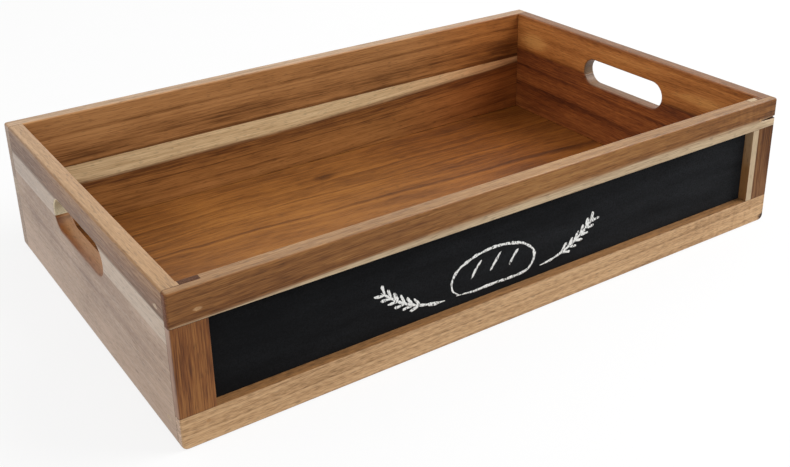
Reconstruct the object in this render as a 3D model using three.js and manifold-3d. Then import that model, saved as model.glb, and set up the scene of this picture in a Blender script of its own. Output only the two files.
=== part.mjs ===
// A low open crate of oiled acacia on a 530 x 325 mm footprint: two end walls with hand slots, a back wall,
// a front frame of lapped rails and stiles round a chalkboard panel, and a floor let into grooves.
// Millimetres, +Z up. X runs along the length and the front faces -Y. The origin is on the surface the
// crate stands on, below the middle of its outline.

import * as THREE from 'three';
import { mergeVertices } from 'three/addons/utils/BufferGeometryUtils.js';
import Module from 'manifold-3d';

const wasm = await Module();
wasm.setup();

// Outline
const crateLength = 530;
const crateDepth = 325;
const crateHeight = 110;
const easing = 1.5; // quarter round on every outside edge, the rim and the hand slots
const rimCornerExtra = 0.5; // the front outline's corners are rounder than its edges by this at the rim
const footCornerExtra = 3; // and by this at the bottom

// Walls
const wallThickness = 12;
const endUpperStaveHeight = 36.5;
const backUpperStaveHeight = 45.5;

// Hand slots, centred along each end wall
const slotLength = 100;
const slotHeight = 25;
const handBarHeight = 20; // wood left above the slot

// Front frame: the front half of each rail runs across the corner, the back half of each stile stands behind it
const frameThickness = 12;
const lapThickness = 6;
const railHeight = 23.5;
const stileWidth = 25;

// Chalkboard panel, in a rebate at the back of the frame
const panelThickness = 4;
const panelLap = 6;
const panelClearance = 0.3;

// Floor, in a groove round all four sides
const floorThickness = 6;
const floorSetUp = 3; // bottom edge of the walls to the underside of the floor
const grooveDepth = 4;
const grooveClearance = 0.3;

// Brads, each sunk below the face under a plug of filler
const bradRadius = 0.6;
const bradPointLength = 1.5;
const plugRadius = 1.1;
const plugDepth = 2;
const holeClearance = 0.3;
const bradEdgeDistance = 15.5; // down from the rim, and up from the bottom edge
const lapBradInset = 18.5; // from the end of the rail
const lapBradTipCover = 1; // wood left behind the point
const skewBradSetBack = 17.5; // from the front face, where it enters the end wall
const skewBradReach = 3.5; // past the end wall, into the stile
const skewBradTipCover = 1.5; // from the point to the back of the rail
const backBradLength = 25;

// Facets
const overrun = 5; // how far a cutter runs past the face it cuts
const easingSteps = 3;
const cornerSteps = 4;
const slotEndSteps = 12;
const bradSides = 8;

// Planes that the pieces share
const outerX = crateLength / 2;
const outerY = crateDepth / 2;
const innerX = outerX - wallThickness;
const backInnerY = outerY - wallThickness;
const lapY = -outerY + lapThickness;
const frameInnerY = -outerY + frameThickness;
const stileInnerX = outerX - stileWidth;
const topRailZ = crateHeight - railHeight;
const slotTopZ = crateHeight - handBarHeight;
const slotCentreZ = slotTopZ - slotHeight / 2;
const endGlueZ = crateHeight - endUpperStaveHeight;
const backGlueZ = crateHeight - backUpperStaveHeight;
const ends = [-1, 1];

// Solids: closed three.js geometries turned into manifolds, and back

function solidFrom(geometry) {
  const bare = geometry.clone();
  bare.deleteAttribute('normal');
  bare.deleteAttribute('uv');
  const welded = mergeVertices(bare);
  return new wasm.Manifold(new wasm.Mesh({
    numProp: 3,
    vertProperties: new Float32Array(welded.attributes.position.array),
    triVerts: new Uint32Array(welded.index.array),
  }));
}

function geometryFrom(solid) {
  const { vertProperties, triVerts } = solid.getMesh();
  const geometry = new THREE.BufferGeometry();
  geometry.setAttribute('position', new THREE.BufferAttribute(vertProperties, 3));
  geometry.setIndex(new THREE.BufferAttribute(triVerts, 1));
  geometry.computeVertexNormals();
  return geometry;
}

// A box given by its low and high plane on each axis, so that two boxes on one plane meet exactly
function block(x, y, z) {
  const geometry = new THREE.BoxGeometry(1, 1, 1);
  const position = geometry.attributes.position;
  const plane = (pair, side) => (side < 0 ? Math.min(...pair) : Math.max(...pair));
  for (let i = 0; i < position.count; i++) {
    position.setXYZ(i, plane(x, position.getX(i)), plane(y, position.getY(i)), plane(z, position.getZ(i)));
  }
  return solidFrom(geometry);
}

// A closed body through rings of points. Each ring turns anticlockwise about the way the rings go.
function loft(rings) {
  const count = rings[0].length;
  const last = (rings.length - 1) * count;
  const faces = [];
  for (let start = 0; start < last; start += count) {
    for (let i = 0; i < count; i++) {
      const a = start + i;
      const b = start + ((i + 1) % count);
      faces.push(a, b, b + count, a, b + count, a + count);
    }
  }
  for (let i = 1; i < count - 1; i++) {
    faces.push(0, i + 1, i, last, last + i, last + i + 1);
  }
  const geometry = new THREE.BufferGeometry().setFromPoints(rings.flat());
  geometry.setIndex(faces);
  return solidFrom(geometry);
}

// Quarter round that eases an edge: how far it stands back from the face, and how deep it has gone
const easingCurve = Array.from({ length: easingSteps + 1 }, (_, step) => {
  const angle = (step / easingSteps) * (Math.PI / 2);
  return { back: easing * (1 - Math.cos(angle)), rise: easing * Math.sin(angle) };
});

// The outside of the whole crate, sanded as one: its front outline, lofted from the back face to the front
function crateEnvelope() {
  const corners = [
    { sideX: 1, sideZ: -1, radius: easing + footCornerExtra },
    { sideX: 1, sideZ: 1, radius: easing + rimCornerExtra },
    { sideX: -1, sideZ: 1, radius: easing + rimCornerExtra },
    { sideX: -1, sideZ: -1, radius: easing + footCornerExtra },
  ];
  const ring = (back, y) => corners.flatMap(({ sideX, sideZ, radius }, corner) => {
    const centreX = sideX * (outerX - radius);
    const centreZ = sideZ < 0 ? radius : crateHeight - radius;
    return Array.from({ length: cornerSteps + 1 }, (_, step) => {
      const angle = (corner - 1 + step / cornerSteps) * (Math.PI / 2);
      const x = centreX + (radius - back) * Math.cos(angle);
      return new THREE.Vector3(x, y, centreZ + (radius - back) * Math.sin(angle));
    });
  });
  const backRings = easingCurve.map(({ back, rise }) => ring(back, outerY - easing + rise)).reverse();
  const frontRings = easingCurve.map(({ back, rise }) => ring(back, -outerY + easing - rise));
  return loft([...backRings, ...frontRings]);
}

// Takes the inner edge of the rim down to a quarter round
function rimCutter() {
  const ring = (back, z) => [
    new THREE.Vector3(-innerX - back, frameInnerY - back, z),
    new THREE.Vector3(innerX + back, frameInnerY - back, z),
    new THREE.Vector3(innerX + back, backInnerY + back, z),
    new THREE.Vector3(-innerX - back, backInnerY + back, z),
  ];
  const rings = easingCurve.map(({ back, rise }) => ring(back, crateHeight - easing + rise));
  rings.push(ring(easing, crateHeight + overrun));
  return loft(rings);
}

// Cuts a hand slot through an end wall, eased at both faces
function slotCutter(end) {
  const centreX = end * (outerX - wallThickness / 2);
  const halfStraight = (slotLength - slotHeight) / 2;
  const ring = (back, x) => {
    const points = [];
    const radius = slotHeight / 2 + back;
    for (const side of ends) {
      for (let step = 0; step <= slotEndSteps; step++) {
        const angle = (step / slotEndSteps) * Math.PI - side * (Math.PI / 2);
        const y = side * halfStraight + radius * Math.cos(angle);
        points.push(new THREE.Vector3(x, y, slotCentreZ + radius * Math.sin(angle)));
      }
    }
    return points;
  };
  const face = wallThickness / 2 - easing;
  const rings = easingCurve.map(({ back, rise }) => ring(back, centreX + face + rise));
  rings.push(ring(easing, centreX + wallThickness / 2 + overrun));
  const mirrored = easingCurve.map(({ back, rise }) => ring(back, centreX - face - rise)).reverse();
  mirrored.unshift(ring(easing, centreX - wallThickness / 2 - overrun));
  return loft([...mirrored, ...rings]);
}

const envelope = crateEnvelope();
const rim = rimCutter();

const floorGroove = block(
  [-innerX - grooveDepth, innerX + grooveDepth],
  [frameInnerY - grooveDepth, backInnerY + grooveDepth],
  [floorSetUp, floorSetUp + floorThickness + grooveClearance],
);

const panelRebate = block(
  [-stileInnerX - panelLap, stileInnerX + panelLap],
  [frameInnerY - panelThickness, frameInnerY + overrun],
  [railHeight - panelLap, topRailZ + panelLap],
);

// Brads: one low and one high at each corner, each with the point where it enters the wood, the way it is
// driven and its length below the plug
function cornerBrads(kind, route) {
  const levels = [['lower', bradEdgeDistance], ['upper', crateHeight - bradEdgeDistance]];
  return ends.flatMap((end) => levels.map(([level, z]) => {
    const { entry, aim, length } = route(end, z);
    const place = `${end < 0 ? 'left' : 'right'}_${level}`;
    return { kind, place, entry, direction: aim.clone().sub(entry).normalize(), length };
  }));
}

// Through the rail's lap into the back half of the stile
const lapBrads = cornerBrads('lap', (end, z) => ({
  entry: new THREE.Vector3(end * (outerX - lapBradInset), -outerY, z),
  aim: new THREE.Vector3(end * (outerX - lapBradInset), frameInnerY, z),
  length: frameThickness - plugDepth - lapBradTipCover,
}));

// Slanting forward through the end wall into the stile, so that the point stays out of the crate
const skewBrads = cornerBrads('skew', (end, z) => {
  const entry = new THREE.Vector3(end * outerX, -outerY + skewBradSetBack, z);
  const aim = new THREE.Vector3(end * (innerX - skewBradReach), lapY + skewBradTipCover, z);
  return { entry, aim, length: entry.distanceTo(aim) - plugDepth };
});

// Through the back wall into the end grain of the end wall
const backBrads = cornerBrads('back', (end, z) => ({
  entry: new THREE.Vector3(end * (outerX - wallThickness / 2), outerY, z),
  aim: new THREE.Vector3(end * (outerX - wallThickness / 2), backInnerY, z),
  length: backBradLength,
}));

const brads = [...lapBrads, ...skewBrads, ...backBrads];

// Turns a profile about a brad's line. The profile's height is the depth below the wood's face.
function turned(profile, { entry, direction }) {
  const points = profile.map(([radius, depth]) => new THREE.Vector2(radius, depth));
  const geometry = new THREE.LatheGeometry(points, bradSides);
  const turn = new THREE.Quaternion().setFromUnitVectors(new THREE.Vector3(0, 1, 0), direction);
  geometry.applyQuaternion(turn);
  geometry.translate(entry.x, entry.y, entry.z);
  return solidFrom(geometry);
}

function bradSolid(brad) {
  const tip = plugDepth + brad.length;
  return turned([[0, plugDepth], [bradRadius, plugDepth], [bradRadius, tip - bradPointLength], [0, tip]], brad);
}

function plugSolid(brad) {
  const base = plugDepth - holeClearance;
  const plug = turned([[0, -overrun], [plugRadius, -overrun], [plugRadius, base], [0, base]], brad);
  return plug.intersect(envelope);
}

function bradHole(brad) {
  const mouth = plugRadius + holeClearance;
  const bore = bradRadius + holeClearance;
  const end = plugDepth + brad.length + holeClearance;
  return turned([[0, -overrun], [mouth, -overrun], [mouth, plugDepth], [bore, plugDepth], [bore, end], [0, end]], brad);
}

const bradHoles = brads.map(bradHole);

// Boards: cut to their planes, then grooved, rebated, drilled and sanded with the rest of the crate

function finished(blank, cutters = []) {
  const cuts = [rim, floorGroove, ...bradHoles, ...cutters];
  return cuts.reduce((solid, cutter) => solid.subtract(cutter), blank.intersect(envelope));
}

const allHeights = [-overrun, crateHeight + overrun];

function endStave(end, heights) {
  const wall = block([end * innerX, end * (outerX + overrun)], [lapY, backInnerY], heights);
  return finished(wall, [slotCutter(end)]);
}

function backStave(heights) {
  const across = outerX + overrun;
  return finished(block([-across, across], [backInnerY, outerY + overrun], heights));
}

function rail(heights) {
  const across = outerX + overrun;
  const frontHalf = block([-across, across], [-outerY - overrun, lapY], heights);
  const backHalf = block([-stileInnerX, stileInnerX], [lapY, frameInnerY], heights);
  return finished(frontHalf.add(backHalf), [panelRebate]);
}

function stile(end) {
  const frontHalf = block([end * stileInnerX, end * (outerX + overrun)], [-outerY - overrun, lapY], [railHeight, topRailZ]);
  const backHalf = block([end * stileInnerX, end * innerX], [lapY, frameInnerY], allHeights);
  return finished(frontHalf.add(backHalf), [panelRebate]);
}

function chalkboardPanel() {
  const across = stileInnerX + panelLap - panelClearance;
  const heights = [railHeight - panelLap, topRailZ + panelLap - panelClearance];
  return block([-across, across], [frameInnerY - panelThickness, frameInnerY], heights);
}

function floorPanel() {
  const across = innerX + grooveDepth - grooveClearance;
  const front = frameInnerY - grooveDepth + grooveClearance;
  const back = backInnerY + grooveDepth - grooveClearance;
  return block([-across, across], [front, back], [floorSetUp, floorSetUp + floorThickness]);
}

// Finishes, and the group that is the crate

const wood = (color, roughness = 0.6) => new THREE.MeshStandardMaterial({ color, roughness, metalness: 0 });
const chalkboard = new THREE.MeshStandardMaterial({ color: 0x1d1e20, roughness: 0.85, metalness: 0 });
const bradSteel = new THREE.MeshStandardMaterial({ color: 0x9a9c9e, roughness: 0.4, metalness: 1 });
const filler = wood(0xc9a678, 0.8);

function piece(name, solid, material) {
  const mesh = new THREE.Mesh(geometryFrom(solid), material);
  mesh.name = name;
  return mesh;
}

function assembly(...pieces) {
  return new THREE.Group().add(...pieces);
}

const aboveEndGlue = [endGlueZ, crateHeight + overrun];
const belowEndGlue = [-overrun, endGlueZ];
const aboveBackGlue = [backGlueZ, crateHeight + overrun];
const belowBackGlue = [-overrun, backGlueZ];

const leftEnd = assembly(
  piece('left_end_upper_stave', endStave(-1, aboveEndGlue), wood(0xa88a70)),
  piece('left_end_lower_stave', endStave(-1, belowEndGlue), wood(0x9a7a66)),
);

const rightEnd = assembly(
  piece('right_end_upper_stave', endStave(1, aboveEndGlue), wood(0x8a5a30)),
  piece('right_end_lower_stave', endStave(1, belowEndGlue), wood(0x6a3c20)),
);

const back = assembly(
  piece('back_upper_stave', backStave(aboveBackGlue), wood(0x8f6138)),
  piece('back_lower_stave', backStave(belowBackGlue), wood(0x8c5c30)),
);

const frontFrame = assembly(
  piece('front_top_rail', rail([topRailZ, crateHeight + overrun]), wood(0x8a5c36)),
  piece('front_bottom_rail', rail([-overrun, railHeight]), wood(0xb08a5c)),
  piece('left_stile', stile(-1), wood(0x8a5a3c)),
  piece('right_stile', stile(1), wood(0x7c5432)),
  piece('chalkboard_panel', chalkboardPanel(), chalkboard),
);

const floor = assembly(piece('floor_panel', floorPanel(), wood(0x8a5628, 0.55)));

const fixings = assembly(...brads.flatMap((brad) => [
  piece(`${brad.kind}_brad_${brad.place}`, bradSolid(brad), bradSteel),
  piece(`${brad.kind}_filler_${brad.place}`, plugSolid(brad), filler),
]));

export default assembly(leftEnd, rightEnd, back, frontFrame, floor, fixings);
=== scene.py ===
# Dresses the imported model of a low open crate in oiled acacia: boards with eased joints and their own
# figure, a blackboard panel with a small chalk drawing, wire brads and the putty over them.
import math
from functools import partial

import bmesh
import bpy
from mathutils import Matrix, Vector
from mathutils.bvhtree import BVHTree


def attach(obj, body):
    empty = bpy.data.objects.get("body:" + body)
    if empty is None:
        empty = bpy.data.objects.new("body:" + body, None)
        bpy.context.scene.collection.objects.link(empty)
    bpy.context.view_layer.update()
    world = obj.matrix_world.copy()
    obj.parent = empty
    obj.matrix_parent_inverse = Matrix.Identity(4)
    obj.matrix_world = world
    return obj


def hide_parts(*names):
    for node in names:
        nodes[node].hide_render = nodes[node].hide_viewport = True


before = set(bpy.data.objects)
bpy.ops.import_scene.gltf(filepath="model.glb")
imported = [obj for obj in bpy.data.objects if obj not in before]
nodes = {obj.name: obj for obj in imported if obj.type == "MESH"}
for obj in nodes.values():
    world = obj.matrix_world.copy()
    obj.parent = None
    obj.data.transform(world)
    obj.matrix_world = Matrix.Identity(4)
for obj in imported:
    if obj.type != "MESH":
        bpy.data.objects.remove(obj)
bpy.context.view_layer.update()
scene = bpy.context.scene
mm = 0.001
metre = 1000  # in millimetres, as all the patterns below are measured
print("frame loaded,", len(nodes), "nodes")

# Settings that many nodes share
add, subtract, multiply, multiplyAdd, divide, absolute, lessThan, greaterThan, scaled, lengthOf = (
    {"operation": name} for name in (
        "ADD", "SUBTRACT", "MULTIPLY", "MULTIPLY_ADD", "DIVIDE", "ABSOLUTE", "LESS_THAN", "GREATER_THAN",
        "SCALE", "LENGTH"))
smooth = {"interpolation_type": "SMOOTHSTEP"}
blended = {"data_type": "RGBA"}


def linearColour(hexColour):
    channels = [int(hexColour[i:i + 2], 16) / 255 for i in (1, 3, 5)]
    return [c / 12.92 if c <= 0.04045 else ((c + 0.055) / 1.055) ** 2.4 for c in channels] + [1]


# Adds a node with its settings and links. A node given as an input stands for its first output. What is called
# node below is this with its tree filled in. A Map Range counts its inputs as value, start, end, least and most.
def addNode(tree, kind, inputs=None, **settings):
    node = tree.nodes.new(kind)
    for name, value in settings.items():
        setattr(node, name, value)
    for socket, value in (inputs or {}).items():
        if isinstance(value, bpy.types.Node):
            value = value.outputs[0]
        if isinstance(value, bpy.types.NodeSocket):
            tree.links.new(value, node.inputs[socket])
        else:
            node.inputs[socket].default_value = value
    return node


# Gives a material, or the world, the nodes of one of the finishes below, which returns its last node
def addFinish(holder, finish, look):
    holder.use_nodes = True
    holder.node_tree.nodes.clear()
    node = partial(addNode, holder.node_tree)
    last = finish(node, node("ShaderNodeTexCoord").outputs, look)
    kind = "World" if isinstance(holder, bpy.types.World) else "Material"
    node("ShaderNodeOutput" + kind, {"Surface": last})
    return holder


def newMaterial(name, finish, look):
    return addFinish(bpy.data.materials.new(name), finish, look)


# Sets a colour ramp's stops, each a place and a hex colour or a number for plain grey
def paintRamp(node, stops, interpolation="LINEAR"):
    ramp = node.color_ramp
    ramp.interpolation = interpolation
    while len(ramp.elements) < len(stops):
        ramp.elements.new(0.5)
    for element, (position, colour) in zip(ramp.elements, stops):
        element.position = position
        element.color = linearColour(colour) if isinstance(colour, str) else (colour, colour, colour, 1)
    return node


def newPiece(name, data):
    piece = bpy.data.objects.new(name, data)
    scene.collection.objects.link(piece)
    return piece


def pieceFrom(shape, name):
    mesh = bpy.data.meshes.new(name)
    shape.to_mesh(mesh)
    shape.free()
    return newPiece(name, mesh)


def applyModifiers(piece):
    bpy.context.view_layer.update()
    piece.data = bpy.data.meshes.new_from_object(piece.evaluated_get(bpy.context.evaluated_depsgraph_get()))
    piece.modifiers.clear()
    piece.data.name = piece.name


# Outer planes of the crate, which every place in millimetres below is written from
crate = {"end": 265, "front": -162.5, "back": 162.5, "height": 110}

# Brads: where each enters the wood and the way it is driven
brads = {
    "setBack": 17.5, "lapInset": 18.5, "backInset": 6, "fromEdge": 15.5, "skewAim": (249.5, -155),
    "exclude": 2.4, "reach": 30,  # no edge is eased this near to a brad's line, over this length of it
}
bradLines = []
for side in (-1, 1):
    for height in (brads["fromEdge"], crate["height"] - brads["fromEdge"]):
        skewStart = Vector((side * crate["end"], crate["front"] + brads["setBack"], height))
        skewEnd = Vector((side * brads["skewAim"][0], brads["skewAim"][1], height))
        bradLines += [
            (Vector((side * (crate["end"] - brads["lapInset"]), crate["front"], height)), Vector((0, 1, 0))),
            (skewStart, (skewEnd - skewStart).normalized()),
            (Vector((side * (crate["end"] - brads["backInset"]), crate["back"], height)), Vector((0, -1, 0))),
        ]


def nearBrad(point):
    for start, direction in bradLines:
        offset = point / mm - start
        aside = (offset - direction * offset.dot(direction)).length
        if aside < brads["exclude"] and offset.length < brads["reach"]:
            return True
    return False


# Boards: each CAD board copied with its joint edges broken by hand sanding
joints = {
    "ease": 0.25, "steps": 2,
    "contact": 0.4,  # an eased edge this near to another board is a joint, and holds dirt
    "weld": 0.02, "glueTolerance": 0.05, "flatAngle": 0.3, "edgeAngle": 60, "shadeAngle": 50,
}
cadSurfaces = {
    name: BVHTree.FromPolygons([v.co for v in node.data.vertices], [p.vertices for p in node.data.polygons])
    for name, node in nodes.items() if "brad" not in name and "filler" not in name
}


def easedBoard(board):
    shape = bmesh.new()
    shape.from_mesh(nodes[board["node"]].data)
    bmesh.ops.remove_doubles(shape, verts=shape.verts, dist=joints["weld"] * mm)
    bmesh.ops.dissolve_limit(
        shape, angle_limit=math.radians(joints["flatAngle"]), verts=shape.verts, edges=shape.edges)
    bmesh.ops.recalc_face_normals(shape, faces=shape.faces)
    jointEdge = shape.faces.layers.float.new("jointEdge")
    glueHeight = board.get("glueHeight", -1) * mm  # staves are planed flush after gluing, so this edge stays sharp
    sharp = [
        edge for edge in shape.edges
        if edge.is_manifold and edge.is_convex and edge.calc_face_angle() > math.radians(joints["edgeAngle"])
        and any(abs(corner.co.z - glueHeight) > joints["glueTolerance"] * mm for corner in edge.verts)
        and not nearBrad((edge.verts[0].co + edge.verts[1].co) / 2)
    ]
    eased = bmesh.ops.bevel(
        shape, geom=sharp, offset=joints["ease"] * mm, offset_type="OFFSET", segments=joints["steps"],
        profile=0.5, affect="EDGES", clamp_overlap=False)
    neighbours = [surface for name, surface in cadSurfaces.items() if name != board["node"]]
    for face in eased["faces"]:
        centre = face.calc_center_median()
        if any(surface.find_nearest(centre, joints["contact"] * mm)[0] is not None for surface in neighbours):
            face[jointEdge] = 1
    return pieceFrom(shape, board["name"])


def flattenFaces(piece):
    mesh = piece.data
    mesh.polygons.foreach_set("use_smooth", [True] * len(mesh.polygons))
    mesh.set_sharp_from_angle(angle=math.radians(joints["shadeAngle"]))
    normals = piece.modifiers.new("flatFaces", "WEIGHTED_NORMAL")
    normals.keep_sharp = True
    applyModifiers(piece)


# A shrinkage split that opens towards the end of a rail
def cutSplit(piece, split):
    wedge = bmesh.new()
    jointEdge = wedge.faces.layers.float.new("jointEdge")
    outline = [(split["start"], 0), (split["end"], -split["gape"] / 2), (split["end"], split["gape"] / 2)]
    rings = [
        [wedge.verts.new((x * mm, depth * mm, (split["height"] + split["rise"] * (x - split["start"]) + z) * mm))
         for x, z in outline] for depth in split["depths"]]
    wedge.faces.new(rings[0])
    wedge.faces.new(list(reversed(rings[1])))
    for i in range(3):
        j = (i + 1) % 3
        wedge.faces.new([rings[0][j], rings[0][i], rings[1][i], rings[1][j]])
    bmesh.ops.recalc_face_normals(wedge, faces=wedge.faces)
    for face in wedge.faces:
        # Painted shade: the split's faces get a value above 1, which paints them wholly in the joint dirt colour as
        # the shade inside the narrow crack
        face[jointEdge] = split["dirt"]
    cutter = pieceFrom(wedge, "splitWedge")
    cut = piece.modifiers.new("split", "BOOLEAN")
    cut.object = cutter
    cut.solver = "EXACT"
    applyModifiers(piece)
    bpy.data.objects.remove(cutter)


# Oiled acacia: planed hardwood wiped with oil. It gives long warm brown streaks with near-white sapwood at
# their edge, short dark pores, and a satin skin that goes pale where it is seen at a low angle.
acacia = {
    "axes": "XZY",  # along the grain, across the face, through the thickness
    "seed": 0,
    # How the log lay in the board: its figure's climb per mm and per mm squared, its heart, across and through,
    # and how fast the heart leaves the board's plane, per mm
    "drift": (0, 0), "pith": (-150, 220), "dive": 0,
    "wander": 2.5, "wanderLength": 150, "wanderWidth": 45,
    # Colours: heartwood and sapwood from dark to pale, what a patch darkens to, and the dust in joints, which also
    # paints the shade inside cracks
    "heart": ["#6b4423", "#9a6a3e", "#ae7d4e"], "sap": ["#b3966c", "#d2b48a"],
    "knot": "#2c180c", "jointDirt": "#3e1e06", "jointShare": 0.62,
    "sapRadius": 2000, "sapSoft": 1.2, "heartRim": (9, -0.22),  # width and change of tone where the heart ends
    # Figure by its size in mm along and across the grain. Single fibres are drawn coarser than they are, and so
    # are the pores, so that they show.
    "zoneWidth": 7, "zoneStrength": 1.1,
    "lineWidth": 1.7, "lineStrength": 0.65,
    "streakLength": 130, "streakWidth": 2.6, "streakStrength": 0.95,
    "fibreLength": 9, "fibreWidth": 0.7, "fibreStrength": 1.35,
    "cloudLength": 70, "cloudWidth": 22, "cloudStrength": 0.8,
    "veinLength": 190, "veinWidth": 3.4, "veinStrength": 0.2,
    "poreLength": 7, "poreWidth": 0.8, "poreStrength": 0.26, "poreDepth": 0.8,
    "rippleLength": 3.4, "rippleWidth": 15,
    "curl": (-265, 265, 0),  # start, full height and strength of ripples across the grain
    # Changes of tone, by place across and along the board and in patches of (along, across, half sizes, change); on
    # the floor and back wall some of them are painted shade
    "tones": [(0, 0.5), (110, 0.5)], "alongTones": [(-265, 0), (265, 0)], "patches": [],
    "ruddy": (-265, 265, "#ffffff"),  # start, full height and tint along the board's length; on the floor and back wall it is painted shade that reddens them towards the right end wall
    "farSide": (0, 12, "#ffffff", 0),  # start, full depth, colour and share of the other face, which takes a colour without the painted light that a board's seen face carries
    # Cut faces: each a colour and share, the rim with its height and the slot's inner part with its start and
    # full depth. The slot faces lie between the two heights, and the grain shows in them by the contrast.
    "rim": ("#b09070", 0, 109.7), "endGrain": ("#3f2a1a", 0.45),
    "slotCut": ("#9a7a58", 0), "slotInner": ("#9a7a58", 0, -261, -258), "slotHeights": (20, 100),
    "cutContrast": 0.45,
    "putty": [], "puttyTint": "rail",  # (x, y, z, half sizes) of the putty that sanding has smeared
    "roughness": (0.38, 0.55), "ior": 1.47, "relief": {"Strength": 0.35, "Distance": 0.12 * mm},
    "gloss": 0.5,  # open end grain soaks up the oil and stays dull, so it has a lower one
}
puttyColours = {"rail": ["#9f7850", "#ba9064"], "wall": ["#b39a7f", "#cbb397"]}


def oiledAcacia(node, place, look):
    seed = look["seed"]
    inMillimetres = node("ShaderNodeVectorMath", {0: place["Object"], "Scale": metre}, **scaled)
    parts = node("ShaderNodeSeparateXYZ", {0: inMillimetres}).outputs
    facing = node("ShaderNodeSeparateXYZ", {0: place["Normal"]}).outputs
    along, across, through = (parts[axis] for axis in look["axes"])

    # Figure straightened: the board's drift and the log's own wander are taken out of the across direction
    boardSpace = node("ShaderNodeCombineXYZ", {0: along, 1: across, 2: through})
    wanderPlace = node("ShaderNodeMapping", {
        0: boardSpace, "Location": (seed, 3.1 * seed, 0),
        "Scale": (1 / look["wanderLength"], 1 / look["wanderWidth"], 1 / look["wanderWidth"])})
    wander = node("ShaderNodeTexNoise", {"Vector": wanderPlace, "Scale": 1, "Detail": 2})
    slope = node("ShaderNodeMath", {0: along, 1: look["drift"][1], 2: look["drift"][0]}, **multiplyAdd)
    climb = node("ShaderNodeMath", {0: along, 1: slope}, **multiply)
    straight = node("ShaderNodeMath", {0: across, 1: climb}, **subtract)
    wandering = node("ShaderNodeMath", {0: wander, 1: 2 * look["wander"], 2: -look["wander"]}, **multiplyAdd)
    level = node("ShaderNodeMath", {0: straight, 1: wandering}, **add)
    grain = node("ShaderNodeCombineXYZ", {0: along, 1: level, 2: through})

    # Distance from the heart of the log, which the growth zones and the sapwood follow
    fromPithAcross = node("ShaderNodeMath", {0: level, 1: look["pith"][0]}, **subtract)
    dive = node("ShaderNodeMath", {0: along, 1: look["dive"], 2: through}, **multiplyAdd)
    fromPithThrough = node("ShaderNodeMath", {0: dive, 1: look["pith"][1]}, **subtract)
    fromPith = node("ShaderNodeCombineXYZ", {0: fromPithAcross, 1: fromPithThrough})
    radius = node("ShaderNodeVectorMath", {0: fromPith}, **lengthOf).outputs["Value"]

    # Figure: growth zones and lines by that distance, then all that runs with the grain
    figure = {}
    for name, shift, detail, roughness in (("zone", seed, 2, 0.55), ("line", 7 * seed, 1, 0.5)):
        ring = node("ShaderNodeMath", {0: radius, 1: 1 / look[name + "Width"], 2: shift}, **multiplyAdd)
        figure[name] = node("ShaderNodeTexNoise", {
            "W": ring, "Scale": 1, "Detail": detail, "Roughness": roughness}, noise_dimensions="1D")
    for name, shift, detail, roughness in (
            ("streak", (seed, 0, 0), 3, 0.6), ("fibre", (0, seed, 0), 2, 0.5), ("cloud", (0, 0, seed), 2, 0.5),
            ("pore", (5 * seed, 0, 0), 0, 0.5), ("vein", (2 * seed, 0, 0), 1, 0.5),
            ("ripple", (0, 0, 3 * seed), 1, 0.5)):
        perWidth = 1 / look[name + "Width"]
        spot = node("ShaderNodeMapping", {
            0: grain, "Location": shift, "Scale": (1 / look[name + "Length"], perWidth, perWidth)})
        figure[name] = node("ShaderNodeTexNoise", {
            "Vector": spot, "Scale": 1, "Detail": detail, "Roughness": roughness})
    sapTone = node("ShaderNodeMath", {0: figure["streak"], 1: figure["fibre"]}, **add)
    ragged = node("ShaderNodeMath", {0: figure["streak"], 1: 2.4 * look["sapSoft"], 2: radius}, **multiplyAdd)

    # Plain ranges: name, value, its start and end, and what it gives there
    contrast = look["cutContrast"]
    ends, depth = (node("ShaderNodeMath", {0: facing[look["axes"][axis]]}, **absolute) for axis in (0, 2))
    ranges = {}
    for name, value, start, end, least, most in (
            ("pores", figure["pore"], 0.64, 0.74, 0, 1),
            ("atTop", parts["Z"], look["rim"][2] - 0.1, look["rim"][2] + 0.1, 0, 1),
            ("cutFace", depth, 0.9, 0.6, 0, look["slotCut"][1]),
            ("patchyOil", figure["cloud"], 0.42, 0.58, 0.6, 1),
            ("grainShade", sapTone, 0.7, 1.3, 1 - contrast, 1 + contrast),
            ("shine", sapTone, 0.7, 1.3, look["roughness"][1], look["roughness"][0])):
        ranges[name] = node("ShaderNodeMapRange", {0: value, 1: start, 2: end, 3: least, 4: most})

    # Soft ranges, in the same order
    fades = {}
    for name, value, start, end, least, most in (
            ("vein", figure["vein"], 0.4, 0.33, 0, -look["veinStrength"]),
            ("curl", along, look["curl"][0], look["curl"][1], 0, look["curl"][2]),
            ("heartRim", radius, look["sapRadius"] - look["heartRim"][0], look["sapRadius"], 0, look["heartRim"][1]),
            ("sap", ragged, look["sapRadius"], look["sapRadius"] + 2.2 * look["sapSoft"], 0, 1),
            ("ruddy", along, look["ruddy"][0], look["ruddy"][1], 0, 1),
            ("farSide", through, look["farSide"][0], look["farSide"][1], 0, look["farSide"][3]),
            ("slotDepth", through, look["slotInner"][2], look["slotInner"][3], 0, look["slotInner"][1]),
            ("endGrain", ends, 0.6, 0.95, 0, look["endGrain"][1])):
        fades[name] = node("ShaderNodeMapRange", {0: value, 1: start, 2: end, 3: least, 4: most}, **smooth)
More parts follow.
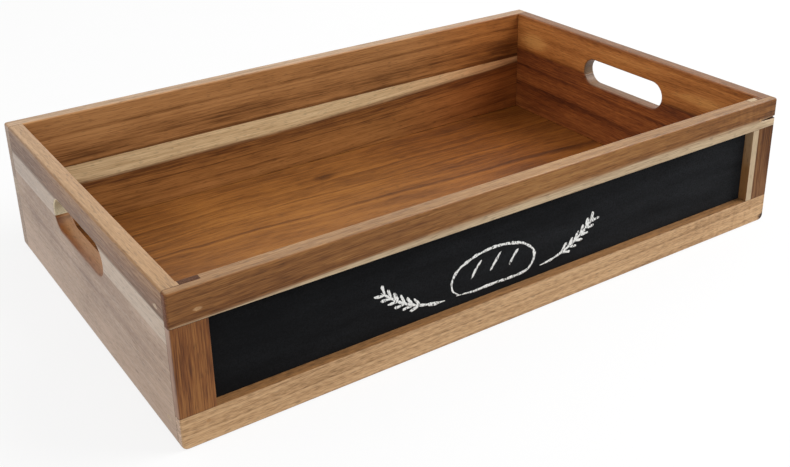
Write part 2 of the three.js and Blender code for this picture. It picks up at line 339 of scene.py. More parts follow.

    # Tone of the heartwood: broad bands given across and along the board, which on the floor and back wall carry
    # painted shade, then what grew in it
    bands = []
    for value, stops, base in ((level, look["tones"], 0), (along, look["alongTones"], 0.5)):
        start, end = stops[0][0], stops[-1][0]
        spot = node("ShaderNodeMapRange", {0: value, 1: start, 2: end})
        ramp = node("ShaderNodeValToRGB", {0: spot})
        bands.append(paintRamp(ramp, [((at - start) / (end - start), change + base) for at, change in stops], "EASE"))
    changes = []
    for name in ("zone", "line", "streak", "fibre", "cloud"):
        strength = look[name + "Strength"]
        changes.append(node("ShaderNodeMath", {0: figure[name], 1: strength, 2: -strength / 2}, **multiplyAdd))
    changes.append(fades["vein"])
    changes.append(node("ShaderNodeMath", {0: bands[1], 1: 0.5}, **subtract))
    ripple = node("ShaderNodeMath", {0: figure["ripple"], 1: 0.5}, **subtract)
    changes.append(node("ShaderNodeMath", {0: ripple, 1: fades["curl"]}, **multiply))
    for patchAlong, patchAcross, halfLength, halfWidth, change in look["patches"]:
        spot = node("ShaderNodeMapping", {
            0: grain, "Location": (-patchAlong / halfLength, -patchAcross / halfWidth, 0),
            "Scale": (1 / halfLength, 1 / halfWidth, 0)})
        reach = node("ShaderNodeVectorMath", {0: spot}, **lengthOf)
        changes.append(node("ShaderNodeMapRange", {
            0: reach.outputs["Value"], 1: 0.2, 2: 1, 3: change, 4: 0}, **smooth))
    tone = bands[0]
    for change in (*changes, fades["heartRim"]):
        tone = node("ShaderNodeMath", {0: tone, 1: change}, **add)
    tonePlace = node("ShaderNodeMapRange", {0: tone, 1: -1, 2: 1})
    heart = node("ShaderNodeValToRGB", {0: tonePlace})
    paintRamp(heart, list(zip((0.1, 0.5, 0.75, 1), (look["knot"], *look["heart"]))))
    sapLevel = node("ShaderNodeMath", {0: sapTone, 1: 0.5}, **multiply)
    sap = node("ShaderNodeValToRGB", {0: sapLevel})
    paintRamp(sap, list(zip((0.3, 0.62), look["sap"])))

    # Cut faces: the rim at the top, the ends, and between two heights the slot, which drinks oil in patches
    rimMask = node("ShaderNodeMath", {0: ranges["atTop"], 1: look["rim"][1]}, **multiply)
    foot, head = look["slotHeights"]
    slotMask = node("ShaderNodeMath", {0: ranges["patchyOil"], 1: ranges["cutFace"]}, **multiply)
    for limit, height in ((greaterThan, foot), (lessThan, head)):
        within = node("ShaderNodeMath", {0: parts["Z"], 1: height}, **limit)
        slotMask = node("ShaderNodeMath", {0: slotMask, 1: within}, **multiply)
    sandedShade = node("ShaderNodeMapRange", {0: ranges["grainShade"], 1: 0, 2: 2, 3: 0.75, 4: 1.25})
    slotColour = node("ShaderNodeMix", {
        0: fades["slotDepth"], 6: linearColour(look["slotCut"][0]), 7: linearColour(look["slotInner"][0])}, **blended)
    rimWood, slotWood, endWood = (
        node("ShaderNodeVectorMath", {0: cut, "Scale": shade}, **scaled) for cut, shade in (
            (linearColour(look["rim"][0])[:3], ranges["grainShade"]), (slotColour.outputs[2], sandedShade),
            (linearColour(look["endGrain"][0])[:3], ranges["grainShade"])))

    # Colour in layers: heartwood, sapwood, the tint along the board, the other face's colour and cut faces, then
    # pores, dirt in the joints with painted shade in a split, and smeared putty
    wood = heart
    for blend, share, layer in (
            ("MIX", fades["sap"], sap), ("MULTIPLY", fades["ruddy"], linearColour(look["ruddy"][2])),
            ("MIX", fades["farSide"], linearColour(look["farSide"][2])),
            ("MIX", rimMask, rimWood), ("MIX", slotMask, slotWood), ("MIX", fades["endGrain"], endWood)):
        layered = node("ShaderNodeMix", {0: share, 6: wood, 7: layer}, **blended, blend_type=blend)
        wood = layered.outputs[2]
    poreShade = node("ShaderNodeMath", {0: ranges["pores"], 1: -look["poreStrength"], 2: 1}, **multiplyAdd)
    poreShaded = node("ShaderNodeVectorMath", {0: wood, "Scale": poreShade}, **scaled)
    joint = node("ShaderNodeAttribute", attribute_name="jointEdge")
    dirt = node("ShaderNodeMath", {0: joint.outputs["Fac"], 1: look["jointShare"]}, **multiply, use_clamp=True)
    colour = node("ShaderNodeMix", {
        0: dirt, 6: poreShaded, 7: linearColour(look["jointDirt"])}, **blended).outputs[2]
    for *centre, halfSizes in look["putty"]:
        reach = node("ShaderNodeMapping", {
            0: inMillimetres, "Location": [-at / half for at, half in zip(centre, halfSizes)],
            "Scale": [1 / half for half in halfSizes]})
        smear = node("ShaderNodeVectorMath", {0: reach}, **lengthOf)
        smearMask = node("ShaderNodeMapRange", {0: smear.outputs["Value"], 1: 0.5, 2: 1.05, 3: 0.75, 4: 0}, **smooth)
        colour = node("ShaderNodeMix", {
            0: smearMask, 6: colour, 7: linearColour(puttyColours[look["puttyTint"]][1])}, **blended).outputs[2]

    height = node("ShaderNodeMath", {0: ranges["pores"], 1: -look["poreDepth"], 2: figure["fibre"]}, **multiplyAdd)
    relief = node("ShaderNodeBump", {**look["relief"], "Height": height})
    return node("ShaderNodeBsdfPrincipled", {
        "Base Color": colour, "Roughness": ranges["shine"], "IOR": look["ior"],
        "Specular IOR Level": look["gloss"], "Normal": relief})


def dressBoard(board):
    piece = easedBoard(board)
    if "split" in board:
        cutSplit(piece, board["split"])
    flattenFaces(piece)
    look = {**acacia, **board}
    piece.data.materials.clear()
    piece.data.materials.append(newMaterial("oiledAcacia_" + board["name"], oiledAcacia, look))
    if "endGloss" in board:
        dull = {**look, "gloss": board["endGloss"]}
        piece.data.materials.append(newMaterial("oiledAcacia_" + board["name"] + "End", oiledAcacia, dull))
        alongAxis = "XYZ".index(look["axes"][0])
        dirtAndShadeLevels = piece.data.attributes["jointEdge"].data
        for face in piece.data.polygons:
            # The ends, and the faces of a split, which carry a higher value than a joint as painted shade inside the
            # crack
            if abs(face.normal[alongAxis]) > 0.8 or dirtAndShadeLevels[face.index].value > 1:
                face.material_index = 1
    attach(piece, "root")
    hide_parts(board["node"])


# End walls
endWalls = {"slot": "end_boards", "axes": "YZX", "glueHeight": 73.5, "puttyTint": "wall"}
leftEndUpper = {
    **endWalls, "name": "leftEndUpper", "node": "left_end_upper_stave", "seed": 3.7,
    "pith": (239.5, -259), "sapRadius": 150, "sapSoft": 1.6, "wander": 1,
    "heart": ["#6f4723", "#845933", "#a57949"], "sap": ["#bca691", "#ceb9a5"],
    "zoneStrength": 0.6, "streakStrength": 0.6,
    "tones": [(73.5, 0.5), (92, 0.3), (98, 0.38), (103, 0.55), (107, 0.85), (110, 1.1)],
    # farSide gives the inner face, from -260 inwards, the brown of the wood, without the painted sheen that the outer
    # face's greyish colours partly carry
    "ruddy": (-20, 150, "#eaeaee"), "farSide": (-260, -254, "#8f5f36", 0.55),
    # The slot's end is painted near white, paler than the cream of the sapwood end grain: partly painted light on a
    # face that lies in shade
    "rim": ("#b6926b", 0.75, 109.7), "slotCut": ("#fff0ca", 1.7), "cutContrast": 0.25,
    "putty": [(-265, -144.6, 93.9, (1.5, 4.2, 1.5))],
}
leftEndLower = {
    **endWalls, "name": "leftEndLower", "node": "left_end_lower_stave", "seed": 8.2,
    "pith": (-60, -200), "dive": 0.05, "wander": 4,
    # Painted sheen: the greyish heart colours are partly the wood and partly the pale haze of the outer face seen at
    # a low angle; farSide gives the inner face, from -260 inwards, the brown of the wood without it
    "heart": ["#8f6f59", "#a88b74", "#c0a38c"],
    "zoneStrength": 0.45, "lineStrength": 0.25, "streakStrength": 0.4, "fibreLength": 5, "fibreStrength": 0.7,
    "cloudStrength": 1.4, "veinStrength": 0,
    "tones": [(0, 1.05), (20, 0.85), (38, 0.62), (47, 0.5), (50, 0.25), (53, 0.5), (73.5, 0.42)],
    "alongTones": [
        (-162.5, 0.3), (-110, 0.1), (-60, -0.05), (0, -0.14), (60, -0.1), (100, 0.08), (162.5, 0.15)],
    "farSide": (-260, -254, "#7c4a26", 0.6),
    "slotCut": ("#754112", 1.1), "slotInner": ("#966b44", 1, -263.5, -257),
    "putty": [(-265, -145.5, 15.2, (1.5, 4.2, 1.8))],
}
rightEndUpper = {
    **endWalls, "name": "rightEndUpper", "node": "right_end_upper_stave", "seed": 5.4,
    "pith": (150, 200), "sapRadius": 94.6, "sapSoft": 0.8,
    # Painted light: the heart colours are partly the wood and partly the red light bounced onto the inner face inside
    # the crate; farSide gives the outer face, from 255 outwards, a paler colour without it
    "heart": ["#985824", "#c57e3f", "#e2a25a"], "sap": ["#b7a084", "#cfbca4"],
    "zoneStrength": 0.5, "lineStrength": 0.3, "streakStrength": 0.45, "fibreStrength": 1,
    "tones": [
        (73.5, 0.05), (76, 0.35), (84, 0.45), (94, 0.52), (99, 0.5), (104, 0.38), (107.5, 0.15),
        (110, -0.1)],
    "patches": [(124, 85, 30, 13, 0.7), (-95, 88, 40, 9, 0.42)],
    "farSide": (255, 263, "#a98f78", 0.5),
    "rim": ("#714c2b", 0.8, 109.7), "slotCut": ("#8d7256", 0.9),
    "putty": [(265, -145, 94.5, (1.5, 3.6, 1.4))],
}
rightEndLower = {
    **endWalls, "name": "rightEndLower", "node": "right_end_lower_stave", "seed": 1.3,
    "pith": (-160, 330), "drift": (0.018, 0), "wander": 1,
    # Painted shade: the dark red heart colours are partly the wood and partly the shade and red bounce light on the
    # inner face; farSide gives the outer face, from 255 outwards, a paler colour without them
    "heart": ["#5c2b14", "#8f4d23", "#b76d35"],
    "zoneStrength": 0.6, "lineStrength": 0.4, "streakStrength": 0.4,
    "tones": [
        (0, 0.45), (14, 0.7), (27, 0.55), (33, 0.15), (38, 0.7), (52, 0.65), (55, 0.3), (58, 0.5),
        (67, 0.42), (73.5, 0.2)],
    "farSide": (255, 263, "#a08470", 0.55), "slotCut": ("#78583a", 0.95),
    "putty": [(265, -145, 15.5, (1.5, 3.6, 1.4))],
}
for board in (leftEndUpper, leftEndLower, rightEndUpper, rightEndLower):
    dressBoard(board)
print("end walls dressed")

# Back wall
backWall = {
    "slot": "back_boards", "glueHeight": 64.5,
    "zoneStrength": 0.8, "streakStrength": 0.6, "fibreLength": 24, "fibreStrength": 1.4,
}
backUpper = {
    **backWall, "name": "backUpper", "node": "back_upper_stave", "seed": 2.6,
    "pith": (10, 260), "drift": (0.006, 0), "wander": 1.8,
    "heart": ["#714620", "#ac7846", "#c48f59"],
    "zoneWidth": 5, "veinStrength": 0.1,
    "tones": [(64.5, 0.12), (70, 0.22), (80, 0.38), (89, 0.62), (97, 0.5), (104, 0.62), (110, 0.7)],
    # Painted shade: the along tones darken the back wall near the right end wall, and the ruddy tint reddens and
    # darkens it towards that wall
    "alongTones": [(-265, 0), (150, 0), (235, -0.23), (265, -0.1)], "ruddy": (80, 220, "#f6dcb8"),
    "rim": ("#b2977a", 0.7, 109.7), "endGrain": ("#9a8472", 0.8),
    "putty": [(x, 162.5, 94.5, (2.6, 1.5, 1.2)) for x in (-259, 259)],
}
backLower = {
    **backWall, "name": "backLower", "node": "back_lower_stave", "seed": 6.1,
    "pith": (-105.2, 190.5), "drift": (0.0208, 7.8e-5), "sapRadius": 160, "sapSoft": 2.4, "wander": 1.5,
    "heart": ["#693d19", "#a16b36", "#b97f47"], "sap": ["#bf9c6c", "#f0d6a9"],
    "zoneWidth": 6, "lineStrength": 0.5, "veinStrength": 0.08,
    "tones": [(0, 0.5), (12, 0.5), (26, 0.55), (34, 0.45), (44, 0.25), (56, 0.3)],
    # Painted shade: the ruddy tint reddens and darkens the back wall towards the right end wall
    "ruddy": (60, 240, "#f4d0b8"), "endGrain": ("#a08a78", 0.8),
    "putty": [(x, 162.5, 15.5, (2.6, 1.5, 1.2)) for x in (-259, 259)],
}
for board in (backUpper, backLower):
    dressBoard(board)
print("back wall dressed")

# Front frame
topRail = {
    "name": "topRail", "node": "front_top_rail", "slot": "frame_boards", "seed": 9.3,
    "pith": (226.4, -120), "drift": (0.01435, -3.137e-5), "sapRadius": 140.8, "sapSoft": 2, "wander": 1.2,
    "heart": ["#6c3f18", "#905e2d", "#a97841"], "sap": ["#a18466", "#ceb693"],
    "zoneWidth": 4, "zoneStrength": 0.55, "lineStrength": 0.45, "streakStrength": 0.7, "fibreLength": 14,
    "cloudStrength": 0.5, "veinStrength": 0.05, "curl": (140, 230, 0.5),
    "tones": [(93, 0.55), (99, 0.48), (104, 0.42), (110, 0.5)],
    "alongTones": [(-265, -0.12), (-120, 0), (0, 0.2), (120, 0.1), (265, -0.12)],
    "rim": ("#a0805a", 0.5, 109.7), "endGrain": ("#6b3c20", 0.85), "endGloss": 0.12,
    "putty": [(-246, -162.5, 94.5, (3.6, 1.5, 1.5))],
    "split": {
        "start": 243, "end": 267, "height": 93.4, "rise": 0.02, "gape": 2.6, "depths": (-164, -160.3),
        "dirt": 1.6},
}
bottomRail = {
    "name": "bottomRail", "node": "front_bottom_rail", "slot": "frame_boards", "seed": 4.8,
    "pith": (-90, -120), "drift": (0.01, 0), "wander": 1.2,
    "heart": ["#a98258", "#c69d71", "#d7b083"], "knot": "#34190a",
    "zoneWidth": 3.5, "zoneStrength": 0.9, "lineStrength": 0.7, "streakStrength": 0.6, "fibreLength": 6,
    "fibreStrength": 2.2, "cloudStrength": 0.7, "curl": (130, 220, 0.8),
    "tones": [(0, 0.5), (9, 0.6), (15, 0.4), (23.5, 0.5)],
    "patches": [(266, 0, 10, 6.5, -1.6), (266.5, 5, 5, 6, -1)],
    "rim": ("#8a5f36", 0.85, 23.3), "endGrain": ("#c8ae9a", 0.85), "endGloss": 0.15,
    "putty": [(x, -162.5, 15.5, (2.4, 1.5, 1.3)) for x in (-246.5, 246.5)],
}
stiles = {
    "slot": "frame_boards", "axes": "ZXY",
    "zoneWidth": 3, "zoneStrength": 0.6, "lineStrength": 0.6, "streakWidth": 1.7, "streakStrength": 1.2,
    "fibreLength": 22, "fibreStrength": 2.5, "veinStrength": 0,
}
leftStile = {
    **stiles, "name": "leftStile", "node": "left_stile", "seed": 7.5,
    "pith": (-400, -90), "drift": (0.01, 0), "wander": 1,
    "heart": ["#603313", "#854f22", "#9d6732"],
    "tones": [(-265, 0.5), (-258, 0.45), (-250, 0.55), (-240, 0.45)],
    "patches": [(20, -252, 45, 30, 0.35)],
    "endGrain": ("#4a2e20", 0.85), "endGloss": 0.12, "slotCut": ("#b59684", 0.9),
}
rightStile = {
    **stiles, "name": "rightStile", "node": "right_stile", "seed": 2.2,
    "pith": (344.5, -181.7), "sapRadius": 100, "sapSoft": 0.3, "wander": 0.5,
    "heart": ["#522908", "#6e4012", "#885c32"], "sap": ["#b49c7b", "#c6ae8d"],
    "tones": [(240, 0.7), (242, 0.65), (248, 0.6), (256, 0.32), (265, 0.14)],
    "patches": [(20, 256, 45, 30, 0.3)],
    "endGrain": ("#8a5a3a", 0.12), "endGloss": 0.2, "slotCut": ("#8a6036", 1),
}
for board in (topRail, bottomRail, leftStile, rightStile):
    dressBoard(board)
print("front frame dressed")

# Floor: flat-sawn, so that the rings open into arches where the log's heart dips
floorPanel = {
    "name": "floorBoard", "node": "floor_panel", "slot": "floor_board", "axes": "XYZ", "seed": 6.6,
    "pith": (10, -70), "dive": 0.03, "wander": 7, "wanderLength": 85,
    "heart": ["#6e4015", "#935d27", "#a86f32"],
    "zoneWidth": 4.5, "zoneStrength": 0.9, "lineWidth": 2, "lineStrength": 0.8, "streakStrength": 0.5,
    "fibreLength": 16, "cloudStrength": 1, "veinStrength": 0.06,
    # Painted shade: the tones darken the floor towards the back wall, and the along tones darken it at its left end
    # under the left end wall and in a band before the right end wall; the ruddy tint reddens it towards the right end
    # as painted shade too
    "tones": [(-150, 0.5), (-40, 0.55), (60, 0.5), (150, 0.35)],
    "alongTones": [
        (-253, -0.5), (-212, -0.45), (-180, -0.2), (-120, 0.06), (-60, 0.02), (60, -0.17),
        (150, -0.27), (253, -0.04)],
    "ruddy": (0, 200, "#ffeccb"),
    "patches": [(-3, 113, 16, 8, -0.45), (79, 108, 7, 4, -0.35)],
}
dressBoard(floorPanel)
print("floor dressed")

# Blackboard paint: matt black on the front of a hardboard sheet. It stays near black from every side, with a
# breath of wiped chalk, and the bare back shows the brown felted fibre.
blackboard = {
    "name": "blackboard", "node": "chalkboard_panel", "slot": "chalkboard",
    "paint": "#0f1012", "dust": "#25272a", "dustEnds": (-240, 240), "dustShares": (0.55, 1.5),
    "wipeAngle": 12, "wipeLength": 90, "wipeWidth": 14, "speckSize": 0.9,
    "paintEdge": -154, "fibre": ["#543826", "#6e4b33"],
    "feltSize": 1.8,  # coarser than real felt, so that it shows
    "skin": {"Roughness": 0.82, "IOR": 1.5, "Specular IOR Level": 0.16},
    "relief": {"Strength": 0.2, "Distance": 0.08 * mm},
}


def blackboardPaint(node, place, look):
    wipePlace = node("ShaderNodeMapping", {
        0: place["Object"], "Rotation": (0, math.radians(look["wipeAngle"]), 0),
        "Scale": (metre / look["wipeLength"], metre / look["wipeWidth"], metre / look["wipeWidth"])})
    wipes = node("ShaderNodeTexNoise", {"Vector": wipePlace, "Scale": 1, "Detail": 4, "Roughness": 0.6})
    specks = node("ShaderNodeTexNoise", {"Vector": place["Object"], "Scale": metre / look["speckSize"], "Detail": 1})
    parts = node("ShaderNodeSeparateXYZ", {0: place["Object"]}).outputs
    wiped = node("ShaderNodeMapRange", {
        0: parts["X"], 1: look["dustEnds"][0] * mm, 2: look["dustEnds"][1] * mm,
        3: look["dustShares"][0], 4: look["dustShares"][1]})
    specked = node("ShaderNodeMath", {0: wipes, 1: specks}, **multiply)
    dust = node("ShaderNodeMath", {0: specked, 1: wiped}, **multiply)
    colour = node("ShaderNodeValToRGB", {0: dust})
    paintRamp(colour, [(0.1, look["paint"]), (0.55, look["dust"])])
    felt = node("ShaderNodeTexNoise", {
        "Vector": place["Object"], "Scale": metre / look["feltSize"], "Detail": 4, "Roughness": 0.7})
    fibre = node("ShaderNodeValToRGB", {0: felt})
    paintRamp(fibre, [(0.35, look["fibre"][0]), (0.65, look["fibre"][1])])
    bare = node("ShaderNodeMath", {0: parts["Y"], 1: look["paintEdge"] * mm}, **greaterThan)
    sheet = node("ShaderNodeMix", {0: bare, 6: colour, 7: fibre}, **blended)
    relief = node("ShaderNodeBump", {**look["relief"], "Height": specks})
    return node("ShaderNodeBsdfPrincipled", {"Base Color": sheet.outputs[2], **look["skin"], "Normal": relief})


panel = easedBoard(blackboard)
flattenFaces(panel)
panel.data.materials.clear()
panel.data.materials.append(newMaterial("blackboardPaint", blackboardPaint, blackboard))
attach(panel, "root")
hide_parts(blackboard["node"])
print("blackboard painted")


# Geometry Nodes: a tree with its named inputs, and a piece that it grows from a few points or lines. The tree
# comes with the function that adds its nodes, and with what it is given.
def newGrowth(name, sizes):
    tree = bpy.data.node_groups.new(name, "GeometryNodeTree")
    tree.interface.new_socket("Geometry", in_out="INPUT", socket_type="NodeSocketGeometry")
    for label, value in sizes.items():
        kind = "NodeSocketInt" if isinstance(value, int) else "NodeSocketFloat"
        tree.interface.new_socket(label, in_out="INPUT", socket_type=kind)
    tree.interface.new_socket("Geometry", in_out="OUTPUT", socket_type="NodeSocketGeometry")
    node = partial(addNode, tree)
    return tree, node, node("NodeGroupInput").outputs


def growPiece(piece, tree, sizes):
    growth = piece.modifiers.new(tree.name, "NODES")
    growth.node_group = tree
    for item in tree.interface.items_tree:
        if item.in_out == "INPUT" and item.name in sizes:
            growth[item.identifier] = sizes[item.name]
    applyModifiers(piece)


# White chalk: dry calcium sulphate stick. It catches only the high spots of the paint, so its lines are broken.
def whiteChalk(node, place, look):
    rubPlace = node("ShaderNodeMapping", {
        0: place["Object"], "Rotation": (0, math.radians(look["rubAngle"]), 0),
        "Scale": (metre / look["grit"], metre / look["grit"], metre / look["rubLength"])})
    rub = node("ShaderNodeTexNoise", {"Vector": rubPlace, "Scale": 1, "Detail": 3, "Roughness": 0.6})
    colour = node("ShaderNodeValToRGB", {0: rub})
    paintRamp(colour, [(0.38, look["bare"]), (0.46, look["chalk"])])
    return node("ShaderNodeBsdfPrincipled", {"Base Color": colour, **look["skin"]})


# Chalk drawing: a loaf with three scores between two ears of wheat, drawn on a tree that turns lines to chalk
chalkDrawing = {
    "name": "chalkDrawing", "slot": "chalkboard", "centre": (-20, 44), "face": -154.5, "proud": 0.12,
    "lineWidth": 2.7, "shake": 0.35, "step": 0.6, "sides": 8, "pressureScale": 220, "pressure": (0.22, 0.55),
    "passes": [(0, 1, 160, 4), (7, 0.62, 70, 11)],  # phase, share of the width, frequency, reach
    "kernelStart": 0.8, "kernelLength": 8.6, "kernelAngle": 33, "kernelCount": 6,
    "kernelSpan": (0.36, 0.93),  # the part of a stem that bears them
    "grit": 0.9, "rubLength": 2.34, "rubAngle": -35, "chalk": "#f2f2ef", "bare": "#2a2b2c",
    "skin": {"Roughness": 0.95, "IOR": 1.5, "Specular IOR Level": 0.1},
    "loaf": [
        (-30, -13), (-36, -8), (-37, -1), (-32, 7), (-21, 12.5), (-6, 15.5), (10, 15), (24, 11.5), (34, 5),
        (37.5, -2), (35, -9), (29, -13), (14, -14), (-2, -13.5), (-18, -14), (-33, -12.5)],
    "scores": [[(-20, -3), (-15, 4), (-11, 9)], [(-3, -2), (2, 5), (6, 10)], [(14, -3), (18, 3), (22, 7.5)]],
    "stem": [(43, -13), (55, -11.5), (69, -7), (83, 1), (95, 11)],  # drawn on both sides of the loaf
}


# A line through the points that bends evenly at each of them
def smoothLine(points, steps=8):
    padded = [Vector(point) for point in (points[0], *points, points[-1])]
    line = []
    for before, start, end, after in zip(padded, padded[1:], padded[2:], padded[3:]):
        for step in range(steps):
            t = step / steps
            line.append(0.5 * (
                2 * start + (end - before) * t + (2 * before - 5 * start + 4 * end - after) * t * t
                + (3 * start - before - 3 * end + after) * t ** 3))
    return line + [padded[-1]]


def chalkTree(look, sizes, material):
    tree, node, given = newGrowth("chalkLines", sizes)
    lines = node("GeometryNodeMeshToCurve", {0: given["Geometry"]})

    # Kernels in pairs along the upper part of each stem, leaning out from it
    bearing = node("GeometryNodeInputNamedAttribute", {"Name": "bearsKernels"}, data_type="BOOLEAN")
    stems = node("GeometryNodeMeshToCurve", {0: given["Geometry"], "Selection": bearing})
    upperStem = node("GeometryNodeTrimCurve", {"Curve": stems, 2: look["kernelSpan"][0], 3: look["kernelSpan"][1]})
    seats = node("GeometryNodeResampleCurve", {"Curve": upperStem, "Count": given["Kernel count"]})
    onStems = node("GeometryNodeCurveToPoints", {"Curve": seats}, mode="EVALUATED").outputs
    aimed = node("FunctionNodeAlignRotationToVector", {"Vector": onStems["Tangent"]}, axis="X", pivot_axis="Y")
    kernelTip = node("ShaderNodeCombineXYZ", {0: given["Kernel length"]})
    kernel = node("GeometryNodeCurvePrimitiveLine", {"Start": (look["kernelStart"] * mm, 0, 0), "End": kernelTip})
    drawn = node("GeometryNodeJoinGeometry")
    for side in (-1, 1):
        lean = node("ShaderNodeMath", {0: given["Kernel angle"], 1: side}, **multiply)
        leaning = node("ShaderNodeCombineXYZ", {1: lean})
        turn = node("FunctionNodeEulerToRotation", {0: leaning})
        turned = node("FunctionNodeRotateRotation", {0: aimed, 1: turn}, rotation_space="LOCAL")
        kernels = node("GeometryNodeInstanceOnPoints", {
            "Points": onStems["Points"], "Instance": kernel, "Rotation": turned})
        tree.links.new(kernels.outputs[0], drawn.inputs[0])
    tree.links.new(lines.outputs[0], drawn.inputs[0])

    # Pressure along each line: thin at its ends and uneven between them
    real = node("GeometryNodeRealizeInstances", {0: drawn})
    fine = node("GeometryNodeResampleCurve", {"Curve": real, "Length": look["step"] * mm}, mode="LENGTH")
    here = node("GeometryNodeInputPosition")
    along = node("GeometryNodeSplineParameter").outputs["Factor"]
    fromEnd = node("ShaderNodeMath", {0: 1, 1: along}, **subtract)
    nearerEnd = node("ShaderNodeMath", {0: along, 1: fromEnd}, **multiply)
    taper = node("ShaderNodeMapRange", {0: nearerEnd, 1: -0.02, 2: 0.13, 3: 0.2, 4: 1}, **smooth)
    pressure = node("ShaderNodeTexNoise", {"Vector": here, "Scale": look["pressureScale"], "Detail": 2})
    pressed = node("ShaderNodeMapRange", {
        0: pressure, 1: 0.3, 2: 0.7,
        3: look["pressure"][0], 4: look["pressure"][1]})

    # Each pass of the stick shakes in its own way, and lies flat on the board
    section = node("GeometryNodeCurvePrimitiveCircle", {"Resolution": look["sides"], "Radius": 1})
    flatness = node("ShaderNodeMath", {0: given["Proud"], 1: given["Line width"]}, **divide)
    flatten = node("ShaderNodeCombineXYZ", {0: 1, 1: flatness, 2: 1})
    passes = node("GeometryNodeJoinGeometry")
    for phase, share, frequency, reach in look["passes"]:
        tremor = node("ShaderNodeTexNoise", {
            "Vector": here, "W": phase, "Scale": frequency, "Detail": 2}, noise_dimensions="4D")
        centred = node("ShaderNodeVectorMath", {0: tremor.outputs["Color"], 1: (0.5, 0.5, 0.5)}, **subtract)
        shakeSize = node("ShaderNodeMath", {0: given["Shake"], 1: reach}, **multiply)
        shake = node("ShaderNodeVectorMath", {0: centred, "Scale": shakeSize}, **scaled)
        flatShake = node("ShaderNodeVectorMath", {0: shake, 1: (1, 0, 1)}, **multiply)
        shaken = node("GeometryNodeSetPosition", {0: fine, "Offset": flatShake})
        thickness = pressed
        for factor in (share, taper, given["Line width"]):
            thickness = node("ShaderNodeMath", {0: thickness, 1: factor}, **multiply)
        chalk = node("GeometryNodeCurveToMesh", {
            "Curve": shaken, "Profile Curve": section, "Scale": thickness, "Fill Caps": True})
        flattened = node("GeometryNodeTransform", {"Geometry": chalk, "Scale": flatten})
        tree.links.new(flattened.outputs[0], passes.inputs[0])
    realLines = node("GeometryNodeRealizeInstances", {0: passes})
    chalked = node("GeometryNodeSetMaterial", {0: realLines, "Material": material})
    node("NodeGroupOutput", {0: chalked})
    return tree


def drawChalk(look):
    sketch = bmesh.new()
    bearing = sketch.verts.layers.bool.new("bearsKernels")
    leftStem = [(-x, y) for x, y in look["stem"]]
    for points in (look["loaf"], *look["scores"], leftStem, look["stem"]):
        line = [sketch.verts.new((p.x * mm, 0, p.y * mm)) for p in smoothLine(points)]
        for vertex in line:
            vertex[bearing] = points in (leftStem, look["stem"])
        for start, end in zip(line, line[1:]):
            sketch.edges.new((start, end))
    piece = pieceFrom(sketch, look["name"])
    sizes = {
        "Line width": look["lineWidth"] * mm, "Proud": look["proud"] * mm, "Shake": look["shake"] * mm,
        "Kernel length": look["kernelLength"] * mm, "Kernel angle": math.radians(look["kernelAngle"]),
        "Kernel count": look["kernelCount"],
    }
    growPiece(piece, chalkTree(look, sizes, newMaterial("whiteChalk", whiteChalk, look)), sizes)
    piece.data.transform(Matrix.Translation((look["centre"][0] * mm, look["face"] * mm, look["centre"][1] * mm)))
    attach(piece, "root")
    return piece


drawing = drawChalk(chalkDrawing)
print("chalk drawing made,", len(drawing.data.polygons), "faces")

# Putty: linseed putty, knifed in and sanded. It gives a dull pale plug with a slight dish.
puttyPlugs = {
    "name": "puttyPlugs", "slot": "wood_filler", "radius": 1.46, "depth": 1.6, "sunk": 0.03, "dish": 0.08,
    "corners": 20, "rings": 4, "grit": 0.5, "skin": {"Roughness": 0.8, "IOR": 1.45},
    "relief": {"Strength": 0.4, "Distance": 0.1 * mm},
    "wallFrom": 262,  # from here outwards a plug is in an end wall, and has the wall's tint
}


def sandedPutty(node, place, look):
    grit = node("ShaderNodeTexNoise", {"Vector": place["Object"], "Scale": metre / look["grit"], "Detail": 3})
    onRail, onWall = (
        paintRamp(node("ShaderNodeValToRGB", {0: grit}), list(zip((0.3, 0.6), puttyColours[tint])))
        for tint in ("rail", "wall"))
    parts = node("ShaderNodeSeparateXYZ", {0: place["Object"]}).outputs
    fromMiddle = node("ShaderNodeMath", {0: parts["X"]}, **absolute)
    atWall = node("ShaderNodeMath", {0: fromMiddle, 1: look["wallFrom"] * mm}, **greaterThan)
    filled = node("ShaderNodeMix", {0: atWall, 6: onRail, 7: onWall}, **blended)
    relief = node("ShaderNodeBump", {**look["relief"], "Height": grit})
    return node("ShaderNodeBsdfPrincipled", {"Base Color": filled.outputs[2], **look["skin"], "Normal": relief})


